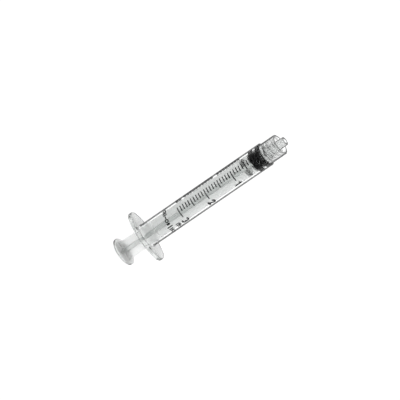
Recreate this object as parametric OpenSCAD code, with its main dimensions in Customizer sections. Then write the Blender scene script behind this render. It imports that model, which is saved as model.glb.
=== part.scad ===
// Three millilitre syringe with a locking collar, lying on its side with the plunger pushed home.
// Each sub-part is built standing up: its axis is Z, and z = 0 is the back face of the finger flange.
// lay() then turns the axis to +X and puts the origin at the bottom centre of the whole object.

/* [Scale] */
// Volume between the first and the last graduation line, in millilitres
capacity_ml = 3; // [1:1:5]
// Length of that graduation along the barrel
scale_length = 45.2; // [40:0.2:46]
// Distance from the back of the flange to the zero line
zero_z = 68.04; // [67:0.02:69]
// Thickness of a printed line, along the barrel
line_w = 0.5; // [0.2:0.02:0.6]
// Thickness of the dry ink film
ink_t = 0.03; // [0.02:0.01:0.05]
// Height of the numerals, along the barrel
numeral_h = 3.75; // [3:0.05:4]
// Width of a numeral, around the barrel
numeral_w = 2.2; // [1.8:0.1:2.6]
// Width of a numeral's stroke
stroke = 0.8; // [0.3:0.05:0.9]

/* [Barrel] */
// Wall thickness of the barrel
wall = 1.0; // [0.8:0.05:1.4]
// Distance from the back of the flange to the shoulder
shoulder_z = 69.5; // [69:0.1:71]
// Depth of the shallow cone that the bore ends in
end_cone = 0.9; // [0.5:0.1:1.1]
// Depth of the wider mouth behind the stop bead
mouth_depth = 7.6; // [5:0.1:10]
// Length of the stop bead
bead_len = 0.6; // [0.4:0.1:1]
// Height of the stop bead
bead_h = 0.12; // [0.08:0.01:0.14]
// Radius of the rounded shoulder
shoulder_round = 0.8; // [0.4:0.1:0.9]

/* [Finger flange] */
// Long axis of the oval finger flange
flange_long = 24.9; // [20:0.1:28]
// Short axis of the oval finger flange
flange_short = 13.4; // [13:0.1:15]
// Radius of the flange's two ends
flange_end_r = 4.5; // [3.8:0.1:5]
// Thickness of the flange
flange_t = 2.0; // [1.4:0.1:2.6]

/* [Luer lock] */
// Diameter of the tapered tip at its open end
tip_d = 3.95; // [3.93:0.01:4]
// Distance from the shoulder to the end of the tip
tip_reach = 10.8; // [10:0.1:12]
// Taper of the tip on diameter, as a share of its length
taper = 0.06; // [0.06:0.01:0.06]
// Diameter of the fluid channel through the tip
channel_d = 2.1; // [1.2:0.1:2.4]
// Outside diameter of the locking collar
collar_d = 9.9; // [9.7:0.1:10.4]
// Length of the locking collar
collar_len = 8.0; // [7:0.1:8.6]
// Thickness of the wall between the barrel and the collar's floor
floor_t = 1.0; // [0.8:0.1:1.4]
// Diameter at the root of the internal thread
thread_root_d = 8.0; // [7.9:0.05:8.1]
// Diameter at the crest of the internal thread
thread_crest_d = 7.1; // [7:0.05:7.2]
// Lead of the double thread
thread_lead = 5.0; // [5:0.5:5]

/* [Plunger rod] */
// Diameter across the rod's fins
rod_d = 8.8; // [8.4:0.1:8.9]
// Thickness of a fin
fin_t = 1.5; // [1:0.1:2]
// Diameter of the thumb disc
thumb_d = 13.4; // [12:0.1:13.4]
// Thickness of the thumb disc
thumb_t = 0.9; // [0.8:0.1:1.4]
// Distance from the back of the flange to the back of the thumb disc
thumb_back = 12.4; // [11:0.1:16]
// Number of grip grooves across the thumb disc
groove_count = 7; // [3:2:7]
// Spacing of the grip grooves
groove_pitch = 1.42; // [1.2:0.02:1.5]
// Depth of the grip grooves
groove_depth = 0.35; // [0.2:0.05:0.4]
// Thickness of the disc that carries the stopper
head_disc_t = 0.8; // [0.6:0.1:1]
// Thickness of the second disc, behind it
guide_disc_t = 0.9; // [0.6:0.1:1.2]
// Gap between the two discs
disc_gap = 3.4; // [2:0.1:6]

/* [Stopper] */
// Length of the stopper, without its nose
stopper_len = 4.8; // [4.4:0.1:6]
// Gap between the sealing ribs and the bore, on radius
rib_gap = 0.03; // [0.02:0.01:0.08]
// Length of the rear sealing rib
rear_rib = 2.9; // [1.5:0.05:3]
// Length of the front sealing rib
front_rib = 0.95; // [0.8:0.05:1.4]
// Depth of the valley between the ribs
valley_depth = 0.45; // [0.3:0.05:0.6]
// Radius of the rod's boss inside the stopper
boss_r = 2.9; // [2.5:0.1:3]
// Radius of the neck behind the boss
neck_r = 2.0; // [1.6:0.1:2.2]
// Gap between the boss and its pocket, on radius
boss_gap = 0.05; // [0.03:0.01:0.08]

/* [Hidden] */
$fn = 96;
eps = 0.01;

// The bore follows from the volume that the graduation has to hold.
ml_pitch = scale_length / capacity_ml;
bore_r = sqrt(capacity_ml * 1000 / (PI * scale_length));
barrel_r = bore_r + wall;
bore_end = shoulder_z - 1.1;
mouth_r = bore_r + 0.1;
bead_r = bore_r - bead_h;
channel_r = channel_d / 2;
collar_end = shoulder_z + collar_len;
floor_z = shoulder_z + floor_t;
tip_end = shoulder_z + tip_reach;
cone_base_r = tip_d / 2 + (tip_end - floor_z) * taper / 2;
thread_len = collar_end - floor_z - 1.2;

// The two side arcs of the flange are tangent to its end arcs.
half_long = flange_long / 2;
half_short = flange_short / 2;
end_centre = half_long - flange_end_r;
side_r = (half_short * half_short + end_centre * end_centre - flange_end_r * flange_end_r)
         / (2 * (half_short - flange_end_r));
side_centre = side_r - half_short;
tangent_y = end_centre * side_r / (side_r - flange_end_r);

rod_r = rod_d / 2;
stopper_back = zero_z - stopper_len;
head_disc_z = stopper_back - 0.05 - head_disc_t;
guide_disc_z = head_disc_z - disc_gap - guide_disc_t;
rib_r = bore_r - rib_gap;
valley_r = rib_r - valley_depth;
front_rib_z = zero_z - front_rib;
neck_len = 1.15;
boss_len = 2.5;
boss_z = stopper_back + neck_len;

total_length = thumb_back + tip_end;
middle_z = tip_end - total_length / 2;
lowest_r = max(half_short, thumb_d / 2);

// Angles around the barrel are counted from the top, and grow towards -Y.
line_start = -29;
tenth_stop = -2.5;
half_stop = 9;
whole_stop = 23;
numeral_angle = 45;
numeral_z = zero_z - 0.35;
unit_angle = 44;
unit_z = zero_z - scale_length - 4.2;
letter_stroke = 0.45;
band_z = 15.4;
band_start = -66;
band_pitch = 15.5;
band_lean = 0.24;
strip_angle = -70;
strip_half = 9;
strip_pitch = 1.65;
strip_block = 1.35;

module lay() {
    translate([-middle_z, 0, lowest_r])
        rotate([0, 90, 0])
            children();
}

// ---------- shapes that several sub-parts use ----------

// A ring, or part of one, between two angles counted from the top of the barrel.
module arc_band(z, height, from, to) {
    rotate([0, 0, 180 + from])
        rotate_extrude(angle = to - from)
            translate([barrel_r, z - height / 2])
                square([ink_t, height]);
}

// Wraps a flat drawing onto the barrel: its Y runs along the barrel and its X towards -Y.
module wrap(z, angle) {
    intersection() {
        difference() {
            cylinder(r = barrel_r + ink_t, h = shoulder_z);
            translate([0, 0, -1])
                cylinder(r = barrel_r, h = shoulder_z + 2);
        }
        rotate([0, 0, 180 + angle])
            translate([0, 0, z])
                rotate([90, 0, 90])
                    linear_extrude(barrel_r + 1)
                        children();
    }
}

// A flat ring seen from above, between two angles. The cutting wedge is a fan of three triangles.
module ring_2d(outer, width, from, to) {
    step = (to - from) / 3;
    reach = outer * 4;
    intersection() {
        difference() {
            circle(r = outer);
            circle(r = outer - width);
        }
        polygon(concat([[0, 0]], [for (i = [0:3]) reach * [cos(from + i * step), sin(from + i * step)]]));
    }
}

module bar_2d(x, y, w, h) {
    translate([x, y])
        square([w, h]);
}

// ---------- barrel ----------

module flange_outline() {
    intersection() {
        translate([side_centre, 0])
            circle(r = side_r);
        translate([-side_centre, 0])
            circle(r = side_r);
        square([flange_short + 1, 2 * tangent_y], center = true);
    }
    for (side = [-1, 1])
        translate([0, side * end_centre])
            circle(r = flange_end_r);
}

module barrel_outside() {
    linear_extrude(flange_t)
        flange_outline();
    cylinder(r = barrel_r, h = shoulder_z - shoulder_round);
    translate([0, 0, shoulder_z - shoulder_round - eps])
        cylinder(r = barrel_r - shoulder_round, h = shoulder_round + eps);
    translate([0, 0, shoulder_z - shoulder_round])
        rotate_extrude()
            intersection() {
                translate([barrel_r - shoulder_round, 0])
                    circle(r = shoulder_round);
                square([barrel_r + 1, shoulder_round + 1]);
            }
    translate([0, 0, shoulder_z - eps])
        cylinder(r = collar_d / 2, h = collar_len + eps);
}

module bore_cut() {
    translate([0, 0, -1])
        cylinder(r = bead_r, h = mouth_depth + 2);
    translate([0, 0, -1])
        cylinder(r = mouth_r, h = mouth_depth + 1);
    translate([0, 0, mouth_depth + bead_len])
        cylinder(r = bore_r, h = bore_end - mouth_depth - bead_len);
    translate([0, 0, bore_end])
        cylinder(r1 = bore_r, r2 = channel_r, h = end_cone);
}

module luer_cone() {
    translate([0, 0, floor_z - eps])
        cylinder(r1 = cone_base_r, r2 = tip_d / 2, h = tip_end - floor_z + eps);
}

// Two starts, each a ridge that narrows from the root to the crest.
module collar_thread() {
    root = thread_root_d / 2 + 0.05;
    crest = thread_crest_d / 2;
    translate([0, 0, floor_z + 0.6])
        linear_extrude(thread_len, twist = -360 * thread_len / thread_lead, slices = 40, $fn = 8)
            for (start = [0, 180])
                rotate(start)
                    polygon(concat([for (a = [-34:17:34]) root * [cos(a), sin(a)]],
                                   [for (a = [16:-8:-16]) crest * [cos(a), sin(a)]]));
}

module barrel() {
    color([0.86, 0.88, 0.87, 0.35])
        lay()
            difference() {
                union() {
                    difference() {
                        barrel_outside();
                        bore_cut();
                        translate([0, 0, floor_z])
                            cylinder(r = thread_root_d / 2, h = collar_len);
                    }
                    luer_cone();
                    collar_thread();
                }
                translate([0, 0, bore_end])
                    cylinder(r = channel_r, h = tip_reach + 3);
            }
}

// ---------- plunger ----------

module rod_fins() {
    length = stopper_back - head_disc_t + thumb_back - thumb_t;
    intersection() {
        translate([0, 0, thumb_t - thumb_back - eps])
            cylinder(r = rod_r, h = length + 2 * eps);
        for (turn = [0, 90])
            rotate([0, 0, turn])
                translate([0, 0, length / 2 + thumb_t - thumb_back])
                    cube([rod_d + 1, fin_t, length + 1], center = true);
    }
}

module thumb_disc() {
    difference() {
        translate([0, 0, -thumb_back])
            cylinder(r = thumb_d / 2, h = thumb_t);
        intersection() {
            translate([0, 0, -thumb_back - 1])
                cylinder(r = thumb_d / 2 - 1.4, h = groove_depth + 1);
            for (i = [-(groove_count - 1) / 2:(groove_count - 1) / 2])
                translate([0, i * groove_pitch, -thumb_back])
                    cube([thumb_d, groove_pitch / 2, 2 * groove_depth], center = true);
        }
    }
}

module plunger_rod() {
    color([0.90, 0.91, 0.90, 0.5])
        lay() {
            thumb_disc();
            rod_fins();
            translate([0, 0, guide_disc_z])
                cylinder(r = rod_r, h = guide_disc_t);
            translate([0, 0, head_disc_z])
                cylinder(r = rod_r, h = head_disc_t);
            translate([0, 0, head_disc_z])
                cylinder(r = neck_r, h = head_disc_t + neck_len + 1);
            translate([0, 0, boss_z + 0.05])
                cylinder(r = boss_r, h = boss_len - 0.1);
        }
}

module stopper() {
    color([0.06, 0.06, 0.07])
        lay()
            difference() {
                union() {
                    translate([0, 0, stopper_back])
                        cylinder(r = rib_r, h = rear_rib);
                    translate([0, 0, stopper_back])
                        cylinder(r = valley_r, h = stopper_len);
                    translate([0, 0, front_rib_z])
                        cylinder(r = rib_r, h = front_rib);
                    translate([0, 0, zero_z])
                        cylinder(r1 = rib_r, r2 = rib_r - 0.15, h = 0.25);
                    translate([0, 0, zero_z + 0.25])
                        cylinder(r1 = rib_r - 0.15, r2 = channel_r - 0.15, h = end_cone);
                }
                translate([0, 0, stopper_back - 1])
                    cylinder(r = neck_r + boss_gap, h = neck_len + 2);
                translate([0, 0, boss_z])
                    cylinder(r = boss_r + boss_gap, h = boss_len);
            }
}

// ---------- print on the barrel ----------

module whole_lines() {
    color([0.12, 0.12, 0.13])
        lay()
            for (ml = [0:capacity_ml])
                arc_band(zero_z - ml * ml_pitch, line_w, line_start, whole_stop);
}

module half_lines() {
    color([0.12, 0.12, 0.13])
        lay()
            for (ml = [0:capacity_ml - 1])
                arc_band(zero_z - (ml + 0.5) * ml_pitch, line_w, line_start, half_stop);
}

module tenth_lines() {
    color([0.12, 0.12, 0.13])
        lay()
            for (ml = [0:capacity_ml - 1], tenth = [1, 2, 3, 4, 6, 7, 8, 9])
                arc_band(zero_z - (ml + tenth / 10) * ml_pitch, line_w, line_start, tenth_stop);
}

// Numerals are drawn about their centre, reading up towards the tip.
module numeral_one() {
    top = numeral_h / 2;
    bar_2d(-stroke / 2, -top, stroke, numeral_h);
    polygon([[0, top], [-1, top - 0.8], [-1, top - 1.4], [0, top - 0.65]]);
}

module numeral_two() {
    r = numeral_w / 2;
    top = numeral_h / 2 - r;
    translate([0, top])
        ring_2d(r, stroke, -55, 190);
    bar_2d(-r, -numeral_h / 2, numeral_w, stroke);
    polygon([[r * cos(-42), top + r * sin(-42)],
             [(r - stroke) * cos(-42), top + (r - stroke) * sin(-42)],
             [-r, -numeral_h / 2 + 0.1],
             [-r + stroke * 1.3, -numeral_h / 2 + 0.1]]);
}

module numeral_three() {
    r = (numeral_h + stroke) / 4;
    for (side = [-1, 1])
        translate([0, side * (r - stroke / 2)])
            ring_2d(r, stroke, side < 0 ? -160 : -90, side < 0 ? 90 : 160);
}

module numerals() {
    color([0.12, 0.12, 0.13])
        lay() {
            wrap(numeral_z - ml_pitch, numeral_angle)
                numeral_one();
            wrap(numeral_z - 2 * ml_pitch, numeral_angle)
                numeral_two();
            wrap(numeral_z - 3 * ml_pitch, numeral_angle)
                numeral_three();
        }
}

module letter_m() {
    for (x = [-1.05, -letter_stroke / 2, 1.05 - letter_stroke])
        bar_2d(x, -1.05, letter_stroke, 1.55);
    for (x = [-0.445, 0.445])
        translate([x, 0.45])
            ring_2d(0.605, letter_stroke, 0, 180);
}

module letter_l() {
    bar_2d(-0.65, -1.05, letter_stroke, 2.9);
    bar_2d(-0.65, -1.05, 1.5, letter_stroke);
}

module unit_mark() {
    color([0.12, 0.12, 0.13])
        lay() {
            wrap(unit_z, unit_angle)
                letter_m();
            wrap(unit_z, unit_angle + 24)
                letter_l();
        }
}

// Plain geometric marks, not letters, stand where a line of small print runs around the barrel.
module small_mark(kind) {
    if (kind == 0)
        difference() {
            circle(r = 0.9);
            circle(r = 0.42);
        }
    if (kind == 1)
        for (x = [-0.65, 0.15])
            bar_2d(x, -1, 0.5, 2);
    if (kind == 2)
        bar_2d(-0.28, -1.4, 0.56, 2.8);
    if (kind == 3)
        bar_2d(-0.55, -0.3, 1.1, 0.6);
    if (kind == 4)
        bar_2d(-0.45, -0.8, 0.9, 1.6);
}

module notice_band() {
    kinds = [2, 0, 1, 3, 0, 4, 2, 1, 0, 3];
    color([0.12, 0.12, 0.13])
        lay()
            for (i = [0:len(kinds) - 1])
                wrap(band_z + (4.5 - i) * band_lean, band_start + i * band_pitch)
                    small_mark(kinds[i]);
}

// Plain blocks stand where a line of small print runs along the barrel.
module side_strip() {
    words = [[22.4, 25.2], [27, 36.4], [37.1, 43.1], [45.6, 59.4]];
    color([0.12, 0.12, 0.13])
        lay()
            for (word = words, z = [word[0] + strip_block / 2:strip_pitch:word[1]])
                arc_band(z, strip_block, strip_angle - strip_half, strip_angle + strip_half);
}

barrel();
plunger_rod();
stopper();
whole_lines();
half_lines();
tenth_lines();
numerals();
unit_mark();
notice_band();
side_strip();
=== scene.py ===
"""A small locking syringe: clear barrel, frosted plunger rod, black stopper and printed scale."""
import logging
import math
from dataclasses import dataclass, field
from enum import Enum
from typing import Callable, Sequence

import bmesh
import bpy
from mathutils import Matrix, Vector


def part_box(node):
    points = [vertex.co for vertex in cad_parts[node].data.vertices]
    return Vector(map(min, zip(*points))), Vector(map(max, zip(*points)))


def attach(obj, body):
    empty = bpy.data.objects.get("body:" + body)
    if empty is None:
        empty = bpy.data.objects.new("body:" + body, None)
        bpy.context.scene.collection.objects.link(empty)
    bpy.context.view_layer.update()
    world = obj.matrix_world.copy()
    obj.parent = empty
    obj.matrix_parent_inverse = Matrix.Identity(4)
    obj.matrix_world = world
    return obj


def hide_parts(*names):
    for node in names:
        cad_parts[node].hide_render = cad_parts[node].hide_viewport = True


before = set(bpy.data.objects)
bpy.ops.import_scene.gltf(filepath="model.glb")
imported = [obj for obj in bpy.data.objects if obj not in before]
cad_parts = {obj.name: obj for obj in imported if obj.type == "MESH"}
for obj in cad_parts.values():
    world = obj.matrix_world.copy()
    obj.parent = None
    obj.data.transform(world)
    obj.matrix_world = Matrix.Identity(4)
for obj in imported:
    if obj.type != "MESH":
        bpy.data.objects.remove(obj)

LOG = logging.getLogger("syringe")
MM = 0.001
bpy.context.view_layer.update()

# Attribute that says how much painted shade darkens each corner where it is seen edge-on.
PAINTED_SHADE_ATTRIBUTE = "painted_edge_shade"
HAZE = "haze"
WHITE = (1.0, 1.0, 1.0, 1.0)
MIX_A, MIX_B, MIX_COLOUR = 6, 7, 2  # a colour mix's two inputs and its output

Outline = list[tuple[float, float]]


# ---------------------------------------------------------------- where things are


class Body(Enum):
    """The CAD bodies that pieces ride on."""

    BARREL = "barrel"
    STOPPER = "stopper"
    ROD = "rod"


class Slot(Enum):
    """The record's material slots."""

    CLEAR = "clear_plastic"
    FROSTED = "frosted_plastic"
    RUBBER = "black_rubber"
    INK = "ink"


@dataclass(frozen=True)
class Datum:
    """The syringe's own measuring frame: distances along the barrel start at the back of the flange.

    Attributes:
        start: Place of the flange's back face along X, in metres.
        height: Height of the barrel's axis above the floor, in metres.
    """

    start: float
    height: float

    @classmethod
    def from_frame(cls) -> "Datum":
        """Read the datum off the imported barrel."""
        low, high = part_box("barrel")
        return cls(start=low.x, height=(low.z + high.z) / 2)

    def place(self, along: float, out: float, angle: float) -> Vector:
        """Turn a place on the syringe into a point.

        Args:
            along: Millimetres from the back of the flange towards the tip.
            out: Millimetres from the axis.
            angle: Radians around the axis from the top, growing towards -Y.

        Returns:
            The point in metres.
        """
        return Vector((
            self.start + along * MM,
            -out * math.sin(angle) * MM,
            self.height + out * math.cos(angle) * MM,
        ))


DATUM = Datum.from_frame()


# ---------------------------------------------------------------- mesh tools


def rounded(corners: Sequence[tuple[float, float, float]], steps: int = 6) -> Outline:
    """Round the corners of an open outline.

    Args:
        corners: (along, out, radius) of each corner; the first and last stay sharp.
        steps: Number of pieces in each rounded corner.

    Returns:
        The outline's points, the same number for the same corners at any size.
    """
    points: Outline = []
    for i, (x, r, radius) in enumerate(corners):
        here = Vector((x, r))
        if radius <= 0 or i in (0, len(corners) - 1):
            points.append((x, r))
            continue
        back = Vector(corners[i - 1][:2]) - here
        ahead = Vector(corners[i + 1][:2]) - here
        turn = back.angle(ahead)
        cut = min(radius / math.tan(turn / 2), 0.49 * back.length, 0.49 * ahead.length)
        first = here + back.normalized() * cut
        last = here + ahead.normalized() * cut
        centre = here + (back.normalized() + ahead.normalized()).normalized() * (cut / math.cos(turn / 2))
        arm, end = first - centre, last - centre
        sweep = math.atan2(arm.x * end.y - arm.y * end.x, arm.dot(end))
        for k in range(steps + 1):
            spoke = Matrix.Rotation(sweep * k / steps, 2) @ arm
            points.append(tuple(centre + spoke))
    return points


def even_angles(count: int) -> list[float]:
    """Angles spread evenly around the axis, in radians."""
    return [2 * math.pi * k / count for k in range(count)]


def new_object(name: str, data: bpy.types.ID) -> bpy.types.Object:
    """Add an object to the scene.

    Args:
        name: Its name.
        data: Its mesh, lamp or lens.

    Returns:
        The new object.
    """
    piece = bpy.data.objects.new(name, data)
    bpy.context.scene.collection.objects.link(piece)
    return piece


def turned_skin(
    name: str, profile: Callable[[float], Outline], angles: Sequence[float], capped: bool
) -> bpy.types.Object:
    """Make a closed skin from one profile at each angle around the axis.

    Args:
        name: Name of the new object.
        profile: Gives the outline at an angle, with the same number of points at every angle.
        angles: Angles of the profiles, in radians, in order.
        capped: True if the profile starts and ends on the axis, False if it closes on itself.

    Returns:
        The new object, smooth shaded.
    """
    mesh = bmesh.new()
    columns = []
    for angle in angles:
        outline = profile(angle)
        inner = outline[1:-1] if capped else outline
        columns.append([mesh.verts.new(DATUM.place(x, r, angle)) for x, r in inner])
    rows = len(columns[0])
    last = rows - 1 if capped else rows
    for i, column in enumerate(columns):
        following = columns[(i + 1) % len(columns)]
        for k in range(last):
            up = (k + 1) % rows
            mesh.faces.new((column[k], column[up], following[up], following[k]))
    if capped:
        outline = profile(angles[0])
        for row, (x, _) in ((0, outline[0]), (rows - 1, outline[-1])):
            pole = mesh.verts.new(DATUM.place(x, 0.0, 0.0))
            for i, column in enumerate(columns):
                mesh.faces.new((pole, column[row], columns[(i + 1) % len(columns)][row]))
    bmesh.ops.recalc_face_normals(mesh, faces=mesh.faces)
    data = bpy.data.meshes.new(name)
    mesh.to_mesh(data)
    mesh.free()
    data.shade_smooth()
    return new_object(name, data)


def smooth_step(share: float) -> float:
    """Ease from 0 to 1 as share runs from 0 to 1."""
    share = min(max(share, 0.0), 1.0)
    return share * share * (3 - 2 * share)


def frozen(piece: bpy.types.Object) -> bpy.types.Object:
    """Turn an object's evaluated shape into its plain mesh.

    Args:
        piece: The object whose modifiers are applied and removed.

    Returns:
        The same object.
    """
    graph = bpy.context.evaluated_depsgraph_get()
    graph.update()
    data = bpy.data.meshes.new_from_object(piece.evaluated_get(graph))
    data.name = piece.name
    piece.modifiers.clear()
    piece.data = data
    return piece


def grown(name: str, group: bpy.types.GeometryNodeTree, values: dict[str, object]) -> bpy.types.Object:
    """Run a Geometry Nodes tree and keep its result as a plain mesh.

    Args:
        name: Name of the new object.
        group: The tree.
        values: The tree's inputs, by name.

    Returns:
        The new object.
    """
    piece = new_object(name, bpy.data.meshes.new(name))
    modifier = piece.modifiers.new(name, "NODES")
    modifier.node_group = group
    for item in group.interface.items_tree:
        if item.in_out == "INPUT" and item.name in values:
            modifier[item.identifier] = values[item.name]
    return frozen(piece)


# ---------------------------------------------------------------- node tools


class Tree:
    """Short calls for building a node tree."""

    def __init__(self, tree: bpy.types.NodeTree) -> None:
        """Keep the tree that nodes are added to."""
        self.tree = tree

    @classmethod
    def of(cls, owner: bpy.types.Material | bpy.types.World) -> "Tree":
        """Turn on an owner's nodes and start with none.

        Args:
            owner: The material or the world.

        Returns:
            Its empty tree.
        """
        owner.use_nodes = True
        owner.node_tree.nodes.clear()
        return cls(owner.node_tree)

    def add(self, kind: str, settings: dict | None = None, **inputs: object) -> bpy.types.Node:
        """Add a node.

        Args:
            kind: The node's type name.
            settings: Properties of the node itself.
            **inputs: Values or output sockets, by the input's name with spaces as underscores.

        Returns:
            The new node.
        """
        node = self.tree.nodes.new(kind)
        for key, value in (settings or {}).items():
            setattr(node, key, value)
        for key, value in inputs.items():
            self.feed(node, key.replace("_", " "), value)
        return node

    def feed(self, node: bpy.types.Node, name: str | int, value: object) -> None:
        """Set or link one input.

        Args:
            node: The node that takes the value.
            name: The input's name or number.
            value: A plain value or an output socket.
        """
        socket = node.inputs[name]
        if isinstance(value, bpy.types.NodeSocket):
            self.tree.links.new(value, socket)
        else:
            socket.default_value = value

    def math(self, operation: str, *values: object) -> bpy.types.NodeSocket:
        """Add a Math node.

        Args:
            operation: Its operation.
            *values: Numbers or output sockets, in order.

        Returns:
            Its output socket.
        """
        node = self.add("ShaderNodeMath", {"operation": operation})
        for place, value in enumerate(values):
            self.feed(node, place, value)
        return node.outputs[0]

    def for_lens(self, others: bpy.types.Node, lens: bpy.types.Node, share: object) -> bpy.types.NodeSocket:
        """Mix two shaders.

        Args:
            others: What every other ray meets.
            lens: What a ray straight from the lens meets.
            share: How much of the second is mixed in.

        Returns:
            The mixed shader's output socket.
        """
        mixed = self.add("ShaderNodeMixShader")
        for place, value in enumerate((share, others.outputs[0], lens.outputs[0])):
            self.feed(mixed, place, value)
        return mixed.outputs[0]

    def put_out(self, instances: bpy.types.Node, material: bpy.types.NodeSocket) -> None:
        """End a Geometry Nodes tree with real geometry in its material.

        Args:
            instances: The node that gives the instances.
            material: The output socket with their material.
        """
        real = self.add("GeometryNodeRealizeInstances", Geometry=instances.outputs[0])
        painted = self.add("GeometryNodeSetMaterial", Geometry=real.outputs[0], Material=material)
        self.add("NodeGroupOutput", Geometry=painted.outputs[0])


def new_group(name: str, inputs: dict[str, str]) -> bpy.types.GeometryNodeTree:
    """Make an empty Geometry Nodes tree that gives one geometry.

    Args:
        name: Name of the tree.
        inputs: The kind of each input, by its name: Int, Float, Vector or Material.

    Returns:
        The new tree.
    """
    group = bpy.data.node_groups.new(name, "GeometryNodeTree")
    group.interface.new_socket("Geometry", in_out="OUTPUT", socket_type="NodeSocketGeometry")
    for label, kind in inputs.items():
        group.interface.new_socket(label, in_out="INPUT", socket_type=f"NodeSocket{kind}")
    return group


# ---------------------------------------------------------------- finishes


@dataclass(frozen=True)
class Grain:
    """Fine unevenness of a surface.

    Attributes:
        scale: How many waves there are in a metre, before stretching.
        stretch: How much finer the waves are along each axis.
        spread: How far the roughness rises from its lowest value.
        depth: Height of the waves, in metres.
        strength: Share of that height that the shading shows.
        finer: How much finer the waves of the roughness are.
        trough: Height of those waves where the roughness is lowest, from 0 to 1.
        peak: Height where it is highest.
    """

    scale: float
    stretch: tuple[float, float, float]
    spread: float
    depth: float
    strength: float
    finer: float = 6.0
    trough: float = 0.3
    peak: float = 0.7


@dataclass(frozen=True)
class Finish:
    """A moulded finish with uneven gloss and a slightly uneven surface.

    Attributes:
        name: Name of the material.
        colour: Base colour.
        roughness: Lowest roughness.
        grain: The unevenness.
        ior: Index of refraction.
        transmission: Share of light that passes through the surface.
        absorption: Light lost inside, per metre, for a grey that is half clear.
        tint: Colour that the inside lets through.
        edge: Colour painted where the skin is seen edge-on, a painted shade for the dark outlines of clear
            plastic.
        shade_paint_from: Share of the turn away from the eye where that painted shade sets in.
        shade_paint_full: Share of that turn where it is full.
        haze: Roughness that the piece's own haze attribute adds.
        coat: Weight of the clear film on top.
        coat_roughness: Roughness of that film.
        specular: Specular level.
        reflection: Share of the head-on reflection that is kept.
    """

    name: str
    colour: tuple[float, float, float]
    roughness: float
    grain: Grain
    ior: float = 1.49
    transmission: float = 0.0
    absorption: float = 0.0
    tint: tuple[float, float, float] = (0.5, 0.5, 0.5)
    edge: tuple[float, float, float] | None = None
    shade_paint_from: float = 0.44
    shade_paint_full: float = 0.56
    haze: float = 0.0
    coat: float = 0.0
    coat_roughness: float = 0.03
    specular: float = 0.5
    reflection: float = 1.0

    def make(self) -> bpy.types.Material:
        """Build the material's nodes.

        Returns:
            The new material.
        """
        material = bpy.data.materials.new(self.name)
        tree = Tree.of(material)
        place = tree.add("ShaderNodeTexCoord").outputs["Object"]
        stretched = tree.add("ShaderNodeMapping", Vector=place, Scale=self.grain.stretch).outputs["Vector"]
        waves = tree.add("ShaderNodeTexNoise", Vector=stretched, Scale=self.grain.scale, Detail=3.0)
        finer = self.grain.scale * self.grain.finer
        fine = tree.add("ShaderNodeTexNoise", Vector=place, Scale=finer, Detail=2.0)
        gloss = tree.add(
            "ShaderNodeMapRange",
            Value=fine.outputs["Fac"],
            From_Min=self.grain.trough,
            From_Max=self.grain.peak,
            To_Min=self.roughness,
            To_Max=self.roughness + self.grain.spread,
        )
        bump = tree.add(
            "ShaderNodeBump",
            Height=waves.outputs["Fac"],
            Distance=self.grain.depth,
            Strength=self.grain.strength,
        )
        shader = tree.add(
            "ShaderNodeBsdfPrincipled",
            Base_Color=(*self.colour, 1.0),
            Roughness=gloss.outputs["Result"],
            IOR=self.ior,
            Normal=bump.outputs["Normal"],
            Transmission_Weight=self.transmission,
            Coat_Weight=self.coat,
            Coat_Roughness=self.coat_roughness,
            Specular_IOR_Level=self.specular,
            Specular_Tint=(self.reflection, self.reflection, self.reflection, 1.0),
        )
        # Painted shade: where the skin is seen edge-on, the base colour is mixed towards the edge colour.
        if self.edge is not None:
            tree.feed(shader, "Base Color", self.with_painted_edges(tree))
        if self.haze > 0:
            hazy = tree.add("ShaderNodeAttribute", {"attribute_name": HAZE}).outputs["Fac"]
            roughness = tree.math("MULTIPLY_ADD", hazy, self.haze, gloss.outputs["Result"])
            tree.feed(shader, "Roughness", roughness)
        out = tree.add("ShaderNodeOutputMaterial", Surface=shader.outputs["BSDF"])
        if self.absorption > 0:
            inside = tree.add("ShaderNodeVolumeAbsorption", Color=(*self.tint, 1.0), Density=self.absorption)
            tree.feed(out, "Volume", inside.outputs["Volume"])
        return material

    def with_painted_edges(self, tree: Tree) -> bpy.types.NodeSocket:
        """Paint shade on the edges: mix the base colour towards the edge colour where the skin turns from
        the eye, as far as the piece's painted edge shade lets it.

        Args:
            tree: The material's nodes.

        Returns:
            The output socket with the colour.
        """
        turn = tree.add(
            "ShaderNodeMapRange",
            {"interpolation_type": "SMOOTHSTEP"},
            Value=tree.add("ShaderNodeLayerWeight", Blend=0.5).outputs["Facing"],
            From_Min=self.shade_paint_from,
            From_Max=self.shade_paint_full,
        )
        shade_painting = tree.add("ShaderNodeAttribute", {"attribute_name": PAINTED_SHADE_ATTRIBUTE}).outputs["Fac"]
        blend = tree.add("ShaderNodeMix", {"data_type": "RGBA"})
        tree.feed(blend, "Factor", tree.math("MULTIPLY", turn.outputs["Result"], shade_painting))
        tree.feed(blend, MIX_A, (*self.colour, 1.0))
        tree.feed(blend, MIX_B, (*self.edge, 1.0))
        return blend.outputs[MIX_COLOUR]


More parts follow.
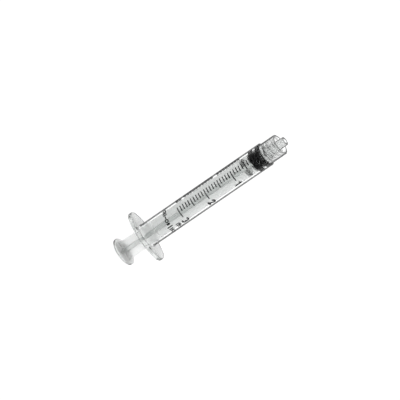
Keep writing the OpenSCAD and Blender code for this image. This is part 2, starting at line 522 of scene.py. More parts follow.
CLEAR_PLASTIC = Finish(
    name="clear_plastic",
    colour=(0.985, 0.99, 0.988),
    roughness=0.02,
    grain=Grain(scale=120, stretch=(0.25, 1.0, 1.0), spread=0.05, depth=0.0002, strength=0.12),
    transmission=1.0,
    absorption=40.0,
    tint=(0.48, 0.52, 0.5),
    # Painted shade: black is mixed into the base colour where the barrel is seen edge-on, for its dark
    # outlines.
    edge=(0.0, 0.0, 0.0),
    haze=0.3,
    reflection=0.3,
)
FROSTED_PLASTIC = Finish(
    name="frosted_plastic",
    colour=(0.935, 0.94, 0.935),
    roughness=0.26,
    grain=Grain(scale=260, stretch=(0.4, 1.0, 1.0), spread=0.1, depth=0.0002, strength=0.2),
    transmission=0.9,
    absorption=75.0,
    tint=(0.48, 0.52, 0.5),
    # Painted shade: black is mixed into the base colour where the rod is seen edge-on, for its dark
    # outlines.
    edge=(0.0, 0.0, 0.0),
    reflection=0.3,
)
BLACK_RUBBER = Finish(
    name="black_rubber",
    colour=(0.006, 0.006, 0.007),
    roughness=0.28,
    grain=Grain(scale=900, stretch=(1.0, 1.0, 1.0), spread=0.15, depth=0.00005, strength=0.2),
    coat=0.15,
    coat_roughness=0.12,
)
PRINT_INK = Finish(
    name="print_ink",
    colour=(0.018, 0.018, 0.02),
    roughness=0.45,
    grain=Grain(scale=1800, stretch=(1.0, 1.0, 1.0), spread=0.2, depth=0.00003, strength=0.3),
    specular=0.3,
)


class Paintbox:
    """The finishes as materials, each made once."""

    def __init__(self) -> None:
        """Make every material."""
        self.clear = CLEAR_PLASTIC.make()
        self.frosted = FROSTED_PLASTIC.make()
        self.rubber = BLACK_RUBBER.make()
        self.ink = PRINT_INK.make()


def dress(piece: bpy.types.Object, material: bpy.types.Material) -> None:
    """Give a whole piece one material.

    Args:
        piece: The object to dress.
        material: The material for all its faces.
    """
    piece.data.materials.clear()
    piece.data.materials.append(material)


def mark(piece: bpy.types.Object, name: str, value: Callable[[Vector, Vector], float]) -> None:
    """Write a number on every corner of a piece, for its finish to read.

    Args:
        piece: The object to mark.
        name: Name of the attribute.
        value: Gives the number from a vertex's place and normal.
    """
    numbers = [value(v.co, v.normal) for v in piece.data.vertices]
    piece.data.attributes.new(name, "FLOAT", "POINT").data.foreach_set("value", numbers)


@dataclass(frozen=True)
class PaintedEdgeShade:
    """How much painted shade clear plastic gets where it is seen edge-on, from 0 to 1, by the way its skin
    faces.

    Attributes:
        wall: For skin that faces away from the axis.
        bore: For skin that faces the axis.
        face: For skin that faces along the axis.
    """

    wall: float
    bore: float
    face: float

    def at(self, place: Vector, normal: Vector) -> float:
        """Find the share of painted shade at a place.

        Args:
            place: A place on the skin.
            normal: The skin's direction there.

        Returns:
            The share of painted shade.
        """
        out = Vector((0.0, place.y, place.z - DATUM.height)).normalized().dot(normal)
        side = self.wall if out > 0 else self.bore
        return side * out**2 + self.face * normal.x**2


def settle(piece: bpy.types.Object, body: Body, slot: Slot, *stands_for: str) -> None:
    """Hand a finished piece to the frame.

    Args:
        piece: The finished object.
        body: The body that it moves with.
        slot: The record's slot for its finish; not used.
        *stands_for: The CAD nodes that it is shown in place of.
    """
    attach(piece, body.value)
    if stands_for:
        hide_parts(*stands_for)
    LOG.info("%s: %d faces, moves with %s", piece.name, len(piece.data.polygons), body.value)


# ---------------------------------------------------------------- barrel


@dataclass
class FingerFlange:
    """The oval plate behind the barrel: two end arcs and two side arcs that meet smoothly, in millimetres.

    Attributes:
        long: Long axis, across the syringe.
        short: Short axis.
        end_radius: Radius of the two ends.
        thickness: Thickness.
        edge: Radius of its rounded rim.
        end_centre: Distance from the axis to the centre of an end arc, worked out.
        side_radius: Radius of the side arcs, worked out.
        side_centre: Distance from the axis to the centre of a side arc, worked out.
    """

    long: float = 24.9
    short: float = 13.4
    end_radius: float = 4.5
    thickness: float = 2.0
    edge: float = 0.55
    end_centre: float = field(init=False)
    side_radius: float = field(init=False)
    side_centre: float = field(init=False)

    def __post_init__(self) -> None:
        """Work out the centres of the arcs."""
        half_short = self.short / 2
        self.end_centre = self.long / 2 - self.end_radius
        self.side_radius = (half_short**2 + self.end_centre**2 - self.end_radius**2) / (
            2 * (half_short - self.end_radius)
        )
        self.side_centre = self.side_radius - half_short

    def reach(self, angle: float) -> float:
        """Find the rim's distance from the axis.

        Args:
            angle: Radians around the axis from the top.

        Returns:
            The distance in millimetres.
        """
        across, up = abs(math.sin(angle)), abs(math.cos(angle))
        join = self.end_centre * self.side_radius / (self.side_radius - self.end_radius)
        height = self.side_centre * self.end_radius / (self.side_radius - self.end_radius)
        if across * height > up * join:
            return self.end_centre * across + math.sqrt(self.end_radius**2 - (self.end_centre * up) ** 2)
        return -self.side_centre * up + math.sqrt(self.side_radius**2 - (self.side_centre * across) ** 2)


@dataclass
class LockThread:
    """The double thread inside the locking collar, in millimetres.

    Attributes:
        root: Radius of the wall between the ridges.
        crest: Radius of the ridges' tops.
        lead: Travel in one turn.
        starts: Number of ridges side by side.
        root_half: Half the width of a ridge at its root.
        crest_half: Half the width of a ridge at its top.
        run_out: Length over which the ridges fade at each end.
    """

    root: float = 4.0
    crest: float = 3.55
    lead: float = 5.0
    starts: int = 2
    root_half: float = 0.5
    crest_half: float = 0.2
    run_out: float = 0.5

    def wall(self, along: float, angle: float, start: float, stop: float) -> float:
        """Find the radius of the collar's inner wall.

        Args:
            along: Place along the barrel.
            angle: Radians around the axis.
            start: Where the thread starts.
            stop: Where it stops.

        Returns:
            The radius in millimetres.
        """
        pitch = self.lead / self.starts
        centre = start + self.lead * angle / (2 * math.pi)
        off = abs((along - centre + pitch / 2) % pitch - pitch / 2)
        rise = smooth_step((self.root_half - off) / (self.root_half - self.crest_half))
        fade = smooth_step((along - start) / self.run_out) * smooth_step((stop - along) / self.run_out)
        return self.root - (self.root - self.crest) * rise * fade


@dataclass
class Barrel:
    """The clear moulding: tube, flange, tapered tip and locking collar, in millimetres.

    Attributes:
        capacity: Volume between the first and last graduation, in millilitres.
        scale_length: Length of that graduation.
        wall: Wall thickness.
        shoulder: Distance from the flange's back to the shoulder.
        shoulder_round: Radius of the shoulder.
        mouth_depth: Depth of the wider mouth.
        mouth_extra: How much wider than the bore its radius is.
        bead_length: Length of the stop bead.
        bead_height: Height of the stop bead.
        end_margin: Distance from the bore's end to the shoulder.
        end_cone: Depth of the shallow cone that ends the bore.
        collar_radius: Outside radius of the collar.
        collar_length: Length of the collar.
        floor: Thickness between the shoulder and the collar's floor.
        tip_radius: Radius of the tip's open end.
        tip_reach: Distance from the shoulder to the end of the tip.
        taper: Growth of the tip's radius for each millimetre back.
        channel: Radius of the fluid channel.
        angles: Number of profiles around the axis.
        thread_steps: Number of pieces along the threaded wall.
        shade_painting: How much painted shade it gets edge-on.
        flange_haze: How hazy the flange is, as a share of the collar's haze.
        haze_margin: How far past the flange and the collar that haze reaches.
        flange: The finger flange.
        thread: The thread in the collar.
    """

    capacity: float = 3.0
    scale_length: float = 45.2
    wall: float = 1.0
    shoulder: float = 69.5
    shoulder_round: float = 0.8
    mouth_depth: float = 7.6
    mouth_extra: float = 0.1
    bead_length: float = 0.6
    bead_height: float = 0.12
    end_margin: float = 1.1
    end_cone: float = 0.9
    collar_radius: float = 4.95
    collar_length: float = 8.0
    floor: float = 1.0
    tip_radius: float = 1.975
    tip_reach: float = 10.8
    taper: float = 0.03
    channel: float = 1.05
    angles: int = 192
    thread_steps: int = 64
    # Painted shade on the barrel's edges, strongest on its outer wall.
    shade_painting: PaintedEdgeShade = PaintedEdgeShade(wall=1.0, bore=0.1, face=0.6)
    flange_haze: float = 0.4
    haze_margin: float = 0.3
    flange: FingerFlange = field(default_factory=FingerFlange)
    thread: LockThread = field(default_factory=LockThread)

    @property
    def bore(self) -> float:
        """Radius of the bore, from the volume that the graduation holds."""
        return math.sqrt(self.capacity * 1000 / (math.pi * self.scale_length))

    @property
    def outside(self) -> float:
        """Outside radius of the tube."""
        return self.bore + self.wall

    def outer(self, angle: float) -> Outline:
        """Draw the outside, from the mouth's edge to the collar's rim.

        Args:
            angle: Radians around the axis from the top.

        Returns:
            The outline's points.
        """
        rim = self.flange.reach(angle)
        thickness, edge = self.flange.thickness, self.flange.edge
        mouth = self.bore + self.mouth_extra
        collar_end = self.shoulder + self.collar_length
        return rounded([
            (1.2, mouth, 0),
            (0.0, mouth, 0.35),
            (0.0, rim, edge),
            (thickness, rim, edge),
            (thickness, self.outside, 0.5),
            (self.shoulder, self.outside, self.shoulder_round),
            (self.shoulder, self.collar_radius, 0.15),
            (collar_end, self.collar_radius, 0.35),
            (collar_end, self.thread.root, 0.25),
            (collar_end - 0.6, self.thread.root, 0),
        ])

    def threaded(self, angle: float) -> Outline:
        """Draw the collar's inner wall with its thread, from the rim to the floor.

        Args:
            angle: Radians around the axis from the top.

        Returns:
            The outline's points.
        """
        start = self.shoulder + self.floor + 0.4
        stop = self.shoulder + self.collar_length - 0.7
        count = self.thread_steps
        places = [stop + (start - stop) * k / count for k in range(count + 1)]
        return [(x, self.thread.wall(x, angle, start, stop)) for x in places]

    def tip(self) -> Outline:
        """Draw the collar's floor, the tip, the fluid channel and the bore's end.

        Returns:
            The outline's points.
        """
        floor = self.shoulder + self.floor
        end = self.shoulder + self.tip_reach
        base = self.tip_radius + (end - floor) * self.taper
        bore_end = self.shoulder - self.end_margin
        return rounded([
            (floor + 0.35, self.thread.root, 0),
            (floor, self.thread.root, 0.25),
            (floor, base, 0.3),
            (end, self.tip_radius, 0.15),
            (end, self.channel, 0.12),
            (bore_end + self.end_cone, self.channel, 0.2),
            (bore_end, self.bore, 0.3),
            (self.mouth_depth + self.bead_length + 1.0, self.bore, 0),
        ])

    def bead(self) -> Outline:
        """Draw the stop bead and the mouth behind it.

        Returns:
            The outline's points.
        """
        front = self.mouth_depth + self.bead_length
        crest = self.bore - self.bead_height
        mouth = self.bore + self.mouth_extra
        return rounded([
            (front + 0.5, self.bore, 0),
            (front + 0.1, self.bore, 0.3),
            (front - 0.05, crest, 0.15),
            (self.mouth_depth + 0.1, crest, 0.15),
            (self.mouth_depth - 0.2, mouth, 0.3),
            (self.mouth_depth - 1.0, mouth, 0),
        ])

    def profile(self, angle: float) -> Outline:
        """Join the outlines into one loop."""
        return self.outer(angle) + self.threaded(angle) + self.tip() + self.bead()

    def haze(self, place: Vector, normal: Vector) -> float:
        """Say how hazy the skin is: the collar most, the flange less, the tube not at all.

        Args:
            place: A place on the barrel.
            normal: Not used.

        Returns:
            The share, from 0 to 1.
        """
        along = (place.x - DATUM.start) / MM
        if along > self.shoulder - self.haze_margin:
            return 1.0
        return self.flange_haze if along < self.flange.thickness + self.haze_margin else 0.0

    def build(self, paints: Paintbox) -> None:
        """Make and dress the barrel.

        Args:
            paints: The materials.
        """
        piece = turned_skin("clear_barrel", self.profile, even_angles(self.angles), capped=False)
        dress(piece, paints.clear)
        # Painted shade: each corner gets the share of edge darkening that its finish paints.
        mark(piece, PAINTED_SHADE_ATTRIBUTE, self.shade_painting.at)
        mark(piece, HAZE, self.haze)
        settle(piece, Body.BARREL, Slot.CLEAR, "barrel")


# ---------------------------------------------------------------- plunger


@dataclass
class PlungerRod:
    """The frosted moulding: cross-shaped shaft, discs, thumb disc and boss, in millimetres.

    Attributes:
        radius: Distance from the axis to a fin's edge.
        fin: Thickness of a fin.
        fin_round: Radius of a fin's corners.
        fin_short: How far a fin's edge stops short of the discs' rims.
        fillet: Radius between two fins.
        thumb_radius: Radius of the thumb disc.
        thumb_thickness: Thickness of the thumb disc.
        thumb_back: Distance from the flange's back to the thumb disc's back.
        recess_radius: Radius of the hollow that holds the grip ridges.
        recess_depth: Depth of that hollow.
        recess_flare: How much wider the hollow is at its mouth, on radius.
        ridge_count: Number of grip ridges.
        ridge_pitch: Spacing of the grip ridges.
        ridge_width: Width of a grip ridge.
        head_front: Front face of the disc behind the stopper.
        head_thickness: Thickness of that disc.
        guide_thickness: Thickness of the second disc.
        disc_gap: Gap between the discs.
        neck: Radius of the neck.
        neck_length: Length of the neck.
        boss: Radius of the boss.
        boss_length: Length of the boss.
        painted_thumb_shade: How much painted shade the thumb disc gets edge-on.
        painted_shaft_shade: How much painted shade the rest gets edge-on.
    """

    radius: float = 4.4
    fin: float = 1.5
    fin_round: float = 0.18
    fin_short: float = 0.02
    fillet: float = 0.3
    thumb_radius: float = 6.7
    thumb_thickness: float = 0.9
    thumb_back: float = -12.4
    recess_radius: float = 5.3
    recess_depth: float = 0.35
    recess_flare: float = 0.1
    ridge_count: int = 7
    ridge_pitch: float = 1.42
    ridge_width: float = 0.7
    head_front: float = 63.19
    head_thickness: float = 0.8
    guide_thickness: float = 0.9
    disc_gap: float = 3.4
    neck: float = 2.0
    neck_length: float = 1.25
    boss: float = 2.9
    boss_length: float = 2.4
    # Painted shade on the rod's edges: strong on the thumb disc, weaker on the shaft and discs.
    painted_thumb_shade: PaintedEdgeShade = PaintedEdgeShade(wall=1.0, bore=0.0, face=0.4)
    painted_shaft_shade: PaintedEdgeShade = PaintedEdgeShade(wall=0.4, bore=0.0, face=0.0)

    def cross_section(self) -> list[tuple[float, float]]:
        """Draw the shaft's cross-section.

        Returns:
            (angle, distance from the axis) of each point, in order around the axis.
        """
        half = self.fin / 2
        tip = math.sqrt((self.radius - self.fin_short) ** 2 - half**2)
        edge = rounded([
            (half, -half, 0),
            (tip, -half, self.fin_round),
            (tip, half, self.fin_round),
            (half, half, 0),
        ], 4)[1:-1]
        corner = half + self.fillet
        flank = [half + (tip - half - 0.3) * k / 8 for k in range(1, 8)]
        flank = [x for x in flank if x > corner + 1e-6]
        lower = [(x, -half) for x in flank]
        upper = [(x, half) for x in reversed(flank)]
        inner = [
            (corner - self.fillet * math.sin(t), corner - self.fillet * math.cos(t))
            for t in (math.radians(a) for a in (0, 22.5, 45, 67.5))
        ]
        points = lower + edge + upper + inner
        section = []
        for turn in range(4):
            for x, y in points:
                section.append((math.atan2(y, x) % (2 * math.pi) + turn * math.pi / 2, math.hypot(x, y)))
        return sorted((a % (2 * math.pi), r) for a, r in section)

    def profile_at(self, shaft: float) -> Outline:
        """Draw the rod from the thumb disc's back to the boss's front.

        Args:
            shaft: Distance from the axis to the shaft's skin on this spoke.

        Returns:
            The outline's points.
        """
        back, front = self.thumb_back, self.thumb_back + self.thumb_thickness
        head = self.head_front - self.head_thickness
        guide_front = head - self.disc_gap
        guide = guide_front - self.guide_thickness
        hollow = back + self.recess_depth
        neck_end = self.head_front + self.neck_length
        boss_end = neck_end + self.boss_length
        root = min(0.25, 0.45 * max(self.radius - shaft, 0.02))
        return rounded([
            (hollow, 0.0, 0),
            (hollow, self.recess_radius, 0.1),
            (back, self.recess_radius + self.recess_flare, 0.15),
            (back, self.thumb_radius, 0.3),
            (front, self.thumb_radius, 0.3),
            (front, shaft, 0.3),
            (guide, shaft, root),
            (guide, self.radius, 0.15),
            (guide_front, self.radius, 0.15),
            (guide_front, shaft, root),
            (head, shaft, root),
            (head, self.radius, 0.15),
            (self.head_front, self.radius, 0.15),
            (self.head_front, self.neck, 0.15),
            (neck_end, self.neck, 0.1),
            (neck_end, self.boss, 0.3),
            (boss_end, self.boss - 0.3, 0.4),
            (boss_end, 0.0, 0),
        ], 4)

    def shaft(self) -> bpy.types.Object:
        """Make the moulding without its grip ridges.

        Returns:
            The shaft with its discs, thumb disc and boss.
        """
        section = dict(self.cross_section())
        angles = sorted(section)
        return turned_skin("plunger_shaft", lambda a: self.profile_at(section[a]), angles, capped=True)

    def ridge_tree(self) -> bpy.types.GeometryNodeTree:
        """Build the tree that lays the grip ridges in the hollow.

        Returns:
            The tree, with inputs for the count, spacing, size and material.
        """
        group = new_group("grip_ridges", {
            "Count": "Int",
            "Pitch": "Float",
            "Width": "Float",
            "Hollow Radius": "Float",
            "Middle": "Vector",
            "Material": "Material",
        })
        tree = Tree(group)
        given = tree.add("NodeGroupInput").outputs
        index = tree.add("GeometryNodeInputIndex").outputs[0]
        half = tree.math("MULTIPLY", tree.math("SUBTRACT", given["Count"], 1.0), 0.5)
        across = tree.math("MULTIPLY", tree.math("SUBTRACT", index, half), given["Pitch"])
        square = tree.math("MULTIPLY", across, across)
        whole = tree.math("MULTIPLY", given["Hollow Radius"], given["Hollow Radius"])
        chord = tree.math("SQRT", tree.math("SUBTRACT", whole, square))
        kept = tree.add("GeometryNodeCaptureAttribute")
        kept.capture_items.new("VECTOR", "Size")
        points = tree.add("GeometryNodeMeshLine", Count=given["Count"])
        tree.feed(kept, "Geometry", points.outputs["Mesh"])
        tree.feed(kept, "Size", tree.add("ShaderNodeCombineXYZ", X=1.0, Y=1.0, Z=chord).outputs[0])
        laid = tree.add(
            "GeometryNodeSetPosition",
            Geometry=kept.outputs["Geometry"],
            Position=tree.add("ShaderNodeCombineXYZ", Y=across).outputs[0],
            Offset=given["Middle"],
        )
        spine = tree.add("GeometryNodeCurvePrimitiveLine", Start=(0.0, 0.0, -1.0), End=(0.0, 0.0, 1.0))
        thick = tree.math("MULTIPLY", given["Width"], 0.5)
        section = tree.add("GeometryNodeCurvePrimitiveCircle", Resolution=20, Radius=thick)
        bar = tree.add(
            "GeometryNodeCurveToMesh",
            Curve=spine.outputs[0],
            Profile_Curve=section.outputs[0],
            Fill_Caps=True,
        )
        set_out = tree.add(
            "GeometryNodeInstanceOnPoints",
            Points=laid.outputs["Geometry"],
            Instance=bar.outputs["Mesh"],
            Scale=kept.outputs["Size"],
        )
        tree.put_out(set_out, given["Material"])
        return group

    def ridges(self, paints: Paintbox) -> bpy.types.Object:
        """Make the grip ridges as one mesh.

        Args:
            paints: The materials.

        Returns:
            The ridges.
        """
        floor = self.thumb_back + self.recess_depth
        return grown(
            "grip_ridges",
            self.ridge_tree(),
            {
                "Count": self.ridge_count,
                "Pitch": self.ridge_pitch * MM,
                "Width": self.ridge_width * MM,
                "Hollow Radius": (self.recess_radius - self.recess_flare) * MM,
                "Middle": DATUM.place(floor, 0.0, 0.0),
                "Material": paints.frosted,
            },
        )

    def painted_edge_shade(self, place: Vector, normal: Vector) -> float:
        """Find how much painted shade the skin gets edge-on.

        Args:
            place: A place on the rod.
            normal: The skin's direction there.

        Returns:
            The share of painted shade, from 0 to 1.
        """
        along = (place.x - DATUM.start) / MM
        thumb = along < self.thumb_back + self.thumb_thickness + self.fillet
        shade_painting = self.painted_thumb_shade if thumb else self.painted_shaft_shade
        return shade_painting.at(place, normal)

    def build(self, paints: Paintbox) -> None:
        """Make and dress the shaft and its grip ridges.

        Args:
            paints: The materials.
        """
        shaft = self.shaft()
        dress(shaft, paints.frosted)
        # Painted shade: each corner gets the share of edge darkening that the frosted finish paints.
        mark(shaft, PAINTED_SHADE_ATTRIBUTE, self.painted_edge_shade)
        settle(shaft, Body.ROD, Slot.FROSTED, "plunger_rod")
        settle(self.ridges(paints), Body.ROD, Slot.FROSTED)


@dataclass
class Stopper:
    """The rubber stopper: two sealing ribs, a valley, a conical nose and a pocket, in millimetres.

    Attributes:
        back: Distance from the flange's back to the stopper's back.
        seal: Distance from the flange's back to the sealing edge.
        rib: Radius of the ribs.
        valley: Radius of the valley.
        rear_rib: Length of the rear rib.
        front_rib: Length of the front rib.
        land: Length of the front rib ahead of the sealing edge.
        slope: Length of the slope between a rib and the valley.
        nose: Length of the nose.
        nose_end: Radius of the nose's blunt end.
        neck_hole: Radius of the pocket's mouth.
        neck_length: Length of the pocket's mouth.
        pocket: Radius of the pocket.
        pocket_length: Length of the pocket.
        angles: Number of profiles around the axis.
    """

    back: float = 63.24
    seal: float = 68.04
    rib: float = 4.605
    valley: float = 4.116
    rear_rib: float = 2.9
    front_rib: float = 0.95
    land: float = 0.36
    slope: float = 0.25
    nose: float = 1.27
    nose_end: float = 1.0
    neck_hole: float = 2.05
    neck_length: float = 1.15
    pocket: float = 2.95
    pocket_length: float = 2.5
    angles: int = 128

    def profile(self, angle: float) -> Outline:
        """Draw the stopper from the pocket's floor round to the nose.

        Args:
            angle: Not used: the stopper is round.

        Returns:
            The outline's points.
        """
        mouth = self.back + self.neck_length
        rear = self.back + self.rear_rib
        front = self.seal - self.front_rib
        return rounded([
            (mouth + self.pocket_length, 0.0, 0),
            (mouth + self.pocket_length, self.pocket, 0.3),
            (mouth, self.pocket, 0.1),
            (mouth, self.neck_hole, 0.1),
            (self.back, self.neck_hole, 0.2),
            (self.back, self.rib, 0.35),
            (rear, self.rib, 0.35),
            (rear + self.slope, self.valley, 0.3),
            (front - self.slope, self.valley, 0.3),
            (front, self.rib, 0.3),
            (self.seal + self.land, self.rib, 0.3),
            (self.seal + self.nose, self.nose_end, 0.2),
            (self.seal + self.nose, 0.0, 0),
        ])

    def build(self, paints: Paintbox) -> None:
        """Make and dress the stopper.

        Args:
            paints: The materials.
        """
        piece = turned_skin("rubber_stopper", self.profile, even_angles(self.angles), capped=True)
        dress(piece, paints.rubber)
        settle(piece, Body.STOPPER, Slot.RUBBER, "stopper")


# ---------------------------------------------------------------- print


class Rank(Enum):
    """The three lengths of graduation line: (keep every, but not every, where the line stops)."""

    WHOLE = (10, 0, 23.0)
    HALF = (5, 10, 9.0)
    TENTH = (1, 5, -2.5)


@dataclass
class Graduation:
    """The printed lines, wrapped onto the barrel, in millimetres and degrees.

    Attributes:
        barrel: The barrel that carries the print.
        zero: Distance from the flange's back to the zero line.
        line: Thickness of a line.
        film: Thickness of the ink.
        start: Angle where every line starts.
    """

    barrel: Barrel
    zero: float = 68.04
    line: float = 0.5
    film: float = 0.03
    start: float = -29.0

    def tree(self) -> bpy.types.GeometryNodeTree:
        """Build the tree that repeats one curved line along the barrel.

        Returns:
            The tree, with inputs for the row of lines, the line's size and the material.
        """
        group = new_group("graduation", {
            "Count": "Int",
            "Keep Every": "Int",
            "Skip Every": "Int",
            "First": "Vector",
            "Step": "Vector",
            "Radius": "Float",
            "Start Angle": "Float",
            "Sweep": "Float",
            "Line Width": "Float",
            "Film": "Float",
            "Material": "Material",
        })
        tree = Tree(group)
        given = tree.add("NodeGroupInput").outputs
        row = tree.add(
            "GeometryNodeMeshLine", Count=given["Count"], Start_Location=given["First"], Offset=given["Step"]
        )
        index = tree.add("GeometryNodeInputIndex").outputs[0]
        wanted = tree.math("LESS_THAN", tree.math("MODULO", index, given["Keep Every"]), 0.5)
        not_skipped = tree.math("GREATER_THAN", tree.math("MODULO", index, given["Skip Every"]), 0.5)
        never = tree.math("LESS_THAN", given["Skip Every"], 0.5)
        kept = tree.math("MULTIPLY", wanted, tree.math("MAXIMUM", not_skipped, never))
        arc = tree.add(
            "GeometryNodeCurveArc",
            {"mode": "RADIUS"},
            Resolution=32,
            Radius=given["Radius"],
            Start_Angle=given["Start Angle"],
            Sweep_Angle=given["Sweep"],
        )
        level = tree.add("GeometryNodeSetCurveNormal", {"mode": "Z_UP"}, Curve=arc.outputs["Curve"])
        section = tree.add(
            "GeometryNodeCurvePrimitiveQuadrilateral",
            {"mode": "RECTANGLE"},
            Width=given["Film"],
            Height=given["Line Width"],
        )
        band = tree.add(
            "GeometryNodeCurveToMesh",
            Curve=level.outputs["Curve"],
            Profile_Curve=section.outputs["Curve"],
            Fill_Caps=True,
        )
        upright = tree.add(
            "GeometryNodeTransform", Geometry=band.outputs["Mesh"], Rotation=(0.0, math.pi / 2, 0.0)
        )
        lines = tree.add(
            "GeometryNodeInstanceOnPoints",
            Points=row.outputs["Mesh"],
            Selection=kept,
            Instance=upright.outputs["Geometry"],
        )
        tree.put_out(lines, given["Material"])
        return group

    def lines(self, group: bpy.types.GeometryNodeTree, rank: Rank, paints: Paintbox) -> bpy.types.Object:
        """Make the lines of one rank.

        Args:
            group: The graduation tree.
            rank: Which lines to make.
            paints: The materials.

        Returns:
            The lines as one mesh.
        """
        every, but_not, stop = rank.value
        step = self.barrel.scale_length / (10 * self.barrel.capacity)
        return grown(
            f"{rank.name.lower()}_graduations",
            group,
            {
                "Count": int(10 * self.barrel.capacity) + 1,
                "Keep Every": every,
                "Skip Every": but_not,
                "First": DATUM.place(self.zero, 0.0, 0.0),
                "Step": Vector((-step * MM, 0.0, 0.0)),
                "Radius": (self.barrel.outside + self.film / 2) * MM,
                "Start Angle": math.radians(180 + self.start),
                "Sweep": math.radians(stop - self.start),
                "Line Width": self.line * MM,
                "Film": self.film * MM,
                "Material": paints.ink,
            },
        )

    def build(self, paints: Paintbox) -> None:
        """Make the three ranks of line and ink the CAD's numerals and marks.

        Args:
            paints: The materials.
        """
        group = self.tree()
        nodes = {Rank.WHOLE: "whole_lines", Rank.HALF: "half_lines", Rank.TENTH: "tenth_lines"}
        for rank, node in nodes.items():
            settle(self.lines(group, rank, paints), Body.BARREL, Slot.INK, node)
        for node in ("numerals", "unit_mark", "notice_band", "side_strip"):
            dress(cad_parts[node], paints.ink)
            LOG.info("%s: inked", node)


# ---------------------------------------------------------------- studio


@dataclass
class Camera:
    """A long lens that looks down on the syringe, with the tip leaning towards it.

    Attributes:
        lean: Degrees that the tip leans towards the camera.
        roll: Degrees that the syringe climbs to the right.
        aim: Millimetres from the flange's back to the middle of the view.
        drop: Millimetres that the view's middle lies below the axis.
        width: Millimetres across the view.
        distance: Metres from the camera to the syringe.
        sensor: Millimetres across the camera's sensor.
    """

    lean: float = 21.5
    roll: float = 34.45
    aim: float = 32.05
    drop: float = 0.3
    width: float = 175.4
    distance: float = 2.0
    sensor: float = 36.0

    def build(self) -> None:
        """Make the camera and set it as the scene's."""
        lean, roll = math.radians(self.lean), math.radians(self.roll)
        back = Vector((math.sin(lean), 0.0, math.cos(lean)))
        length = Vector((math.cos(lean), 0.0, -math.sin(lean)))
        across = Vector((0.0, 1.0, 0.0))
        right = math.cos(roll) * length - math.sin(roll) * across
        up = math.sin(roll) * length + math.cos(roll) * across
        target = DATUM.place(self.aim, 0.0, 0.0) - up * self.drop * MM
        lens = bpy.data.cameras.new("camera")
        lens.sensor_width = self.sensor
        lens.lens = self.sensor * self.distance / (self.width * MM)
        lens.clip_start, lens.clip_end = 0.05, 20.0
        camera = new_object("camera", lens)
        turn = Matrix((right, up, back)).transposed().to_4x4()
        camera.matrix_world = Matrix.Translation(target + back * self.distance) @ turn
        bpy.context.scene.camera = camera


@dataclass
class Softbox:
    """A square soft light that faces the syringe.

    Attributes:
        name: Name of the light.
        place: Where it hangs, in metres.
        size: Length of its side, in metres.
        power: Its power, in watts.
    """

    name: str
    place: tuple[float, float, float]
    size: float
    power: float

    def build(self) -> None:
        """Make the light."""
        lamp = bpy.data.lights.new(self.name, "AREA")
        lamp.size = self.size
        lamp.energy = self.power
        light = new_object(self.name, lamp)
        light.location = self.place
        light.rotation_euler = (-Vector(self.place)).to_track_quat("-Z", "Y").to_euler()


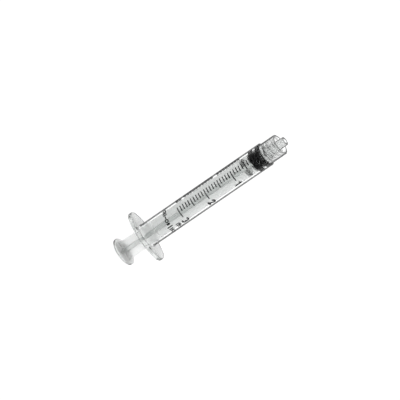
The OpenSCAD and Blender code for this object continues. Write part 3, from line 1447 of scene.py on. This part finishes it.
@dataclass
class Studio:
    """A pale floor, a soft sky and soft lights.

    Attributes:
        floor_size: Length of the floor's side, in metres.
        floor_grey: Base colour of the floor.
        floor_rough: Roughness of the floor.
        glow: Light that the floor gives by itself.
        white: Brightness of the floor and the sky for the lens.
        cover: Share of the floor's own shading that this plain white covers.
        zenith: Brightness of the sky above.
        horizon: Brightness of the sky at the horizon.
        band: Height where the horizon's brightness ends, as the sine of its elevation.
        lights: The soft lights.
        bounces: How often a ray may bounce, in all and through plastic.
        shines: How often it may be reflected.
    """

    floor_size: float = 6.0
    floor_grey: float = 0.9
    floor_rough: float = 0.9
    glow: float = 0.85
    white: float = 1.05
    cover: float = 0.93
    zenith: float = 0.15
    horizon: float = 0.7
    band: float = 0.3
    lights: tuple[Softbox, ...] = (
        Softbox("key", (0.6, -0.45, 1.0), 0.7, 6.0),
        Softbox("rear", (-1.3, 0.1, 0.8), 0.8, 4.0),
    )
    bounces: int = 24
    shines: int = 12

    def floor(self) -> None:
        """Make the floor."""
        half = self.floor_size / 2
        data = bpy.data.meshes.new("floor")
        corners = [(-half, -half, 0.0), (half, -half, 0.0), (half, half, 0.0), (-half, half, 0.0)]
        data.from_pydata(corners, [], [(0, 1, 2, 3)])
        material = bpy.data.materials.new("floor")
        tree = Tree.of(material)
        shader = tree.add(
            "ShaderNodeBsdfPrincipled",
            Base_Color=(self.floor_grey, self.floor_grey, self.floor_grey, 1.0),
            Roughness=self.floor_rough,
            Specular_IOR_Level=0.0,
            Emission_Color=WHITE,
            Emission_Strength=self.glow,
        )
        plain = tree.add("ShaderNodeEmission", Color=WHITE, Strength=self.white)
        seen = tree.add("ShaderNodeLightPath").outputs["Is Camera Ray"]
        surface = tree.for_lens(shader, plain, tree.math("MULTIPLY", seen, self.cover))
        tree.add("ShaderNodeOutputMaterial", Surface=surface)
        data.materials.append(material)
        new_object("floor", data)

    def sky(self) -> None:
        """Make the sky, bright only in a band over the horizon."""
        world = bpy.data.worlds.new("sky")
        tree = Tree.of(world)
        direction = tree.add("ShaderNodeTexCoord").outputs["Generated"]
        height = tree.add("ShaderNodeSeparateXYZ", Vector=direction).outputs["Z"]
        level = tree.add(
            "ShaderNodeMapRange",
            {"interpolation_type": "SMOOTHSTEP"},
            Value=height,
            From_Min=0.0,
            From_Max=self.band,
            To_Min=self.horizon,
            To_Max=self.zenith,
        )
        light = tree.add("ShaderNodeBackground", Color=WHITE, Strength=level.outputs["Result"])
        plain = tree.add("ShaderNodeBackground", Color=WHITE, Strength=self.white)
        seen = tree.add("ShaderNodeLightPath").outputs["Is Camera Ray"]
        tree.add("ShaderNodeOutputWorld", Surface=tree.for_lens(light, plain, seen))
        bpy.context.scene.world = world

    def build(self) -> None:
        """Make the floor, the sky and the lights."""
        self.floor()
        self.sky()
        for light in self.lights:
            light.build()
        scene = bpy.context.scene
        scene.view_settings.view_transform = "Standard"
        scene.cycles.max_bounces = self.bounces
        scene.cycles.transmission_bounces = self.bounces
        scene.cycles.glossy_bounces = self.shines
        scene.cycles.use_denoising = True


def main() -> None:
    """Build the studio and the syringe, piece by piece."""
    logging.basicConfig(level=logging.INFO, format="%(name)s: %(message)s")
    Camera().build()
    Studio().build()
    paints = Paintbox()
    barrel = Barrel()
    barrel.build(paints)
    PlungerRod().build(paints)
    Stopper().build(paints)
    Graduation(barrel).build(paints)


if __name__ == "__main__":
    main()
